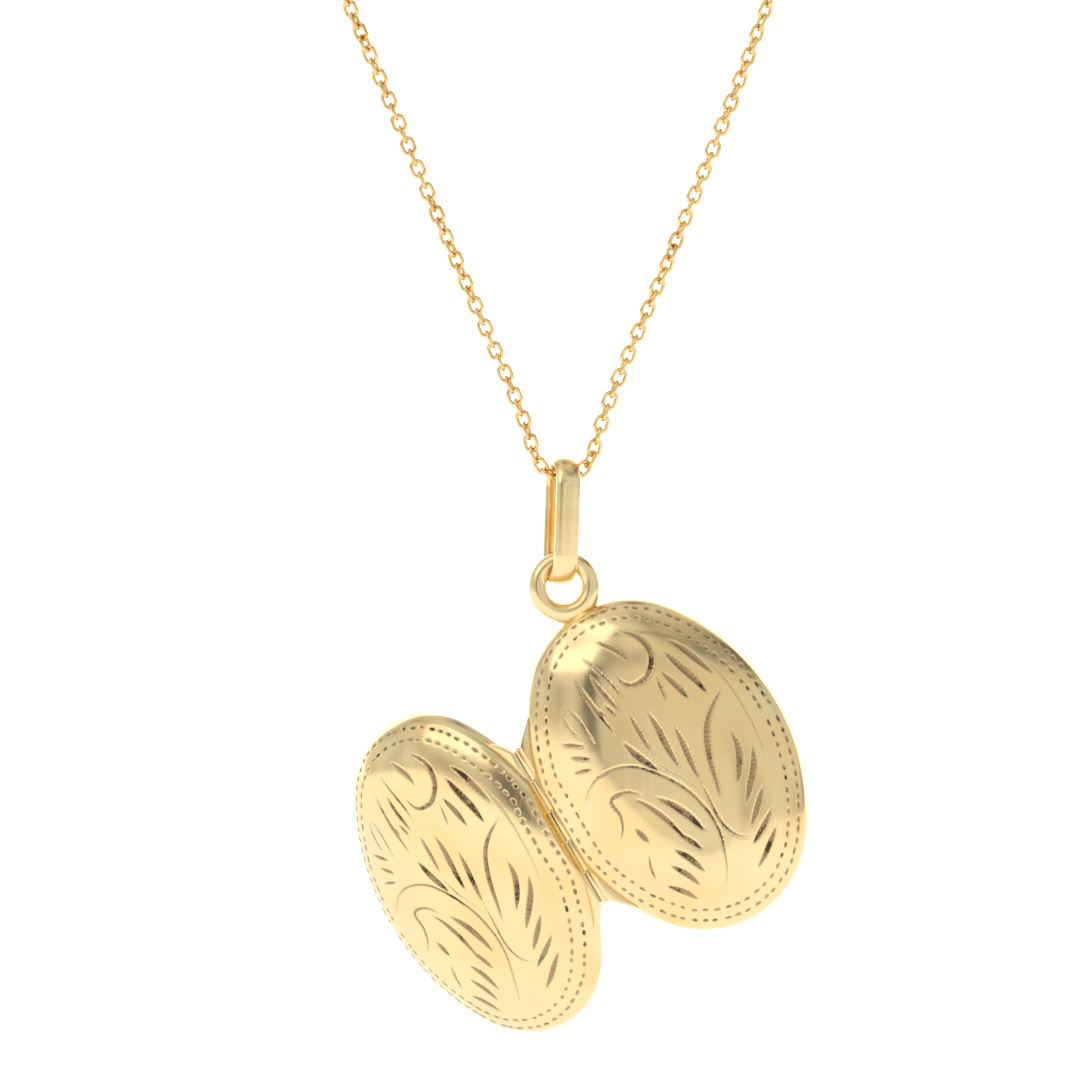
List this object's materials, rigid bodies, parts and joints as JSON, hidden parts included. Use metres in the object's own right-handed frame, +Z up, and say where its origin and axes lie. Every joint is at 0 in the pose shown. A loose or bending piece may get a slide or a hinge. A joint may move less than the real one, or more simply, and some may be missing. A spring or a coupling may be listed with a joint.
{
  "type": "locket",
  "caption": "Oval hinged locket with engraved domed covers and inner photo frames, hanging open from a bail on a fine trace chain.",
  "frame": {"origin": "the chain's seat: the inner top of the bail, where the bail bears on the chain", "axes": "+Z up, with the chain above and the locket hanging below; +X along the chain where it passes through the bail, towards the half that carries the hanging ring; -Y towards the outsides of the open covers"},
  "size_m": [0.0442, 0.0152, 0.0934],
  "materials": {
    "engraved_gold": "hand polished pale yellow gold, engraved",
    "polished_gold": "mirror polished yellow gold",
    "satin_gold": "satin yellow gold",
    "chain_gold": "polished yellow gold wire",
    "clear_film": "clear acetate film",
    "card": "plain matt card",
    "spring_steel": "bright spring wire"
  },
  "bodies": {
    "necklace": {"chain": "chain_gold", "chain_end_ring": "chain_gold", "clasp_body": "chain_gold", "clasp_anchor_loop": "chain_gold", "clasp_jump_ring": "chain_gold", "clasp_spring": "spring_steel"},
    "bail": {"bail": "polished_gold"},
    "front_half": {"front_cover": "engraved_gold", "front_rim": "satin_gold", "closing_lip": "satin_gold", "snap_bead": "satin_gold", "front_photo_frame": "satin_gold", "front_window": "clear_film", "front_card": "card", "front_hinge_leaf": "satin_gold", "front_knuckles": "satin_gold", "hinge_pin": "satin_gold", "hanging_ring": "polished_gold"},
    "back_half": {"back_cover": "engraved_gold", "back_rim": "satin_gold", "back_photo_frame": "satin_gold", "back_window": "clear_film", "back_card": "card", "back_hinge_leaf": "satin_gold", "back_knuckles": "satin_gold"},
    "clasp_trigger": {"clasp_trigger": "chain_gold"}
  },
  "joints": [
    {"name": "bail_swing", "type": "hinge", "parent": "necklace", "child": "bail", "pos_m": [0, 0, -0.00079], "axis": [1, 0, 0], "range_deg": [-75, 75]},
    {"name": "locket_swing", "type": "hinge", "parent": "bail", "child": "front_half", "pos_m": [0.00005, 0, -0.0093], "axis": [0, 0.999, -0.0436], "range_deg": [-40, 100]},
    {"name": "locket_hinge", "type": "hinge", "parent": "front_half", "child": "back_half", "pos_m": [-0.00015, -0.00006, -0.02792], "axis": [-0.5015, 0.0377, 0.8643], "range_deg": [-142.1, 37.9]},
    {"name": "clasp_bolt", "type": "hinge", "parent": "necklace", "child": "clasp_trigger", "pos_m": [-0.02093, 0, 0.04583], "axis": [0, -1, 0], "range_deg": [0, 58], "stiffness_Nm_per_rad": 0.001, "springref_deg": -17.19, "deforming": ["clasp_spring"]}
  ]
}
